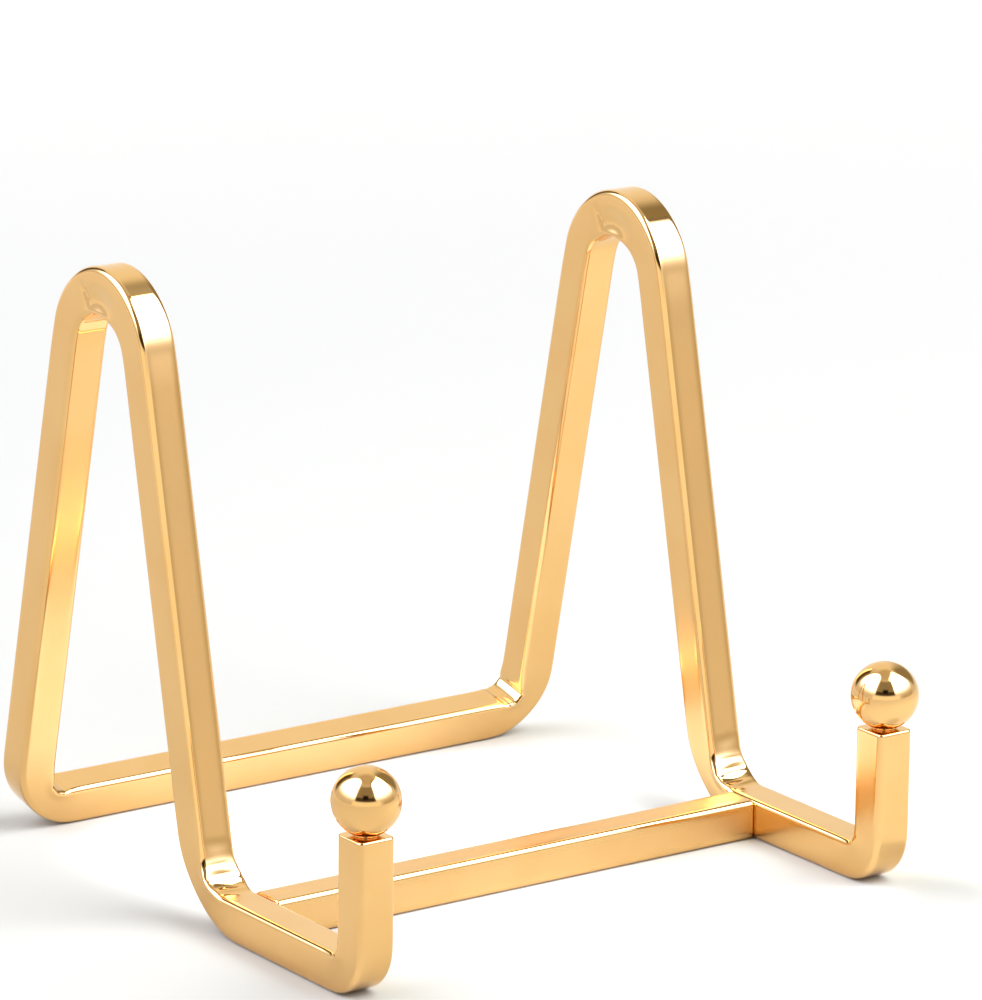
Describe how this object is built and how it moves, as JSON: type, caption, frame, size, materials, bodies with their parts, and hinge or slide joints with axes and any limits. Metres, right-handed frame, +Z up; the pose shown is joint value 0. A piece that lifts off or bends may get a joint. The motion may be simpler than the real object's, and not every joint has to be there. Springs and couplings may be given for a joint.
{
  "type": "photo album stand",
  "caption": "Freestanding display easel bent from square metal bar, with inverted-V side frames, a welded crossbar and ball-topped front posts that keep an album upright.",
  "frame": {"origin": "on the surface it stands on, in the middle of the stand from side to side and from front to back", "axes": "+X to the stand's right seen from the front, +Y to its back, +Z up"},
  "size_m": [0.1004, 0.0986, 0.091],
  "materials": {
    "plated_bar": "polished",
    "plated_crossbar": "polished",
    "plated_ball": "polished",
    "plated_weld": "gloss"
  },
  "bodies": {
    "root": {"bent_bar": "plated_bar", "crossbar": "plated_crossbar", "ball_left": "plated_ball", "ball_right": "plated_ball", "ball_weld_left": "plated_weld", "ball_weld_right": "plated_weld", "crossbar_weld_left": "plated_weld", "crossbar_weld_right": "plated_weld"}
  },
  "joints": []
}
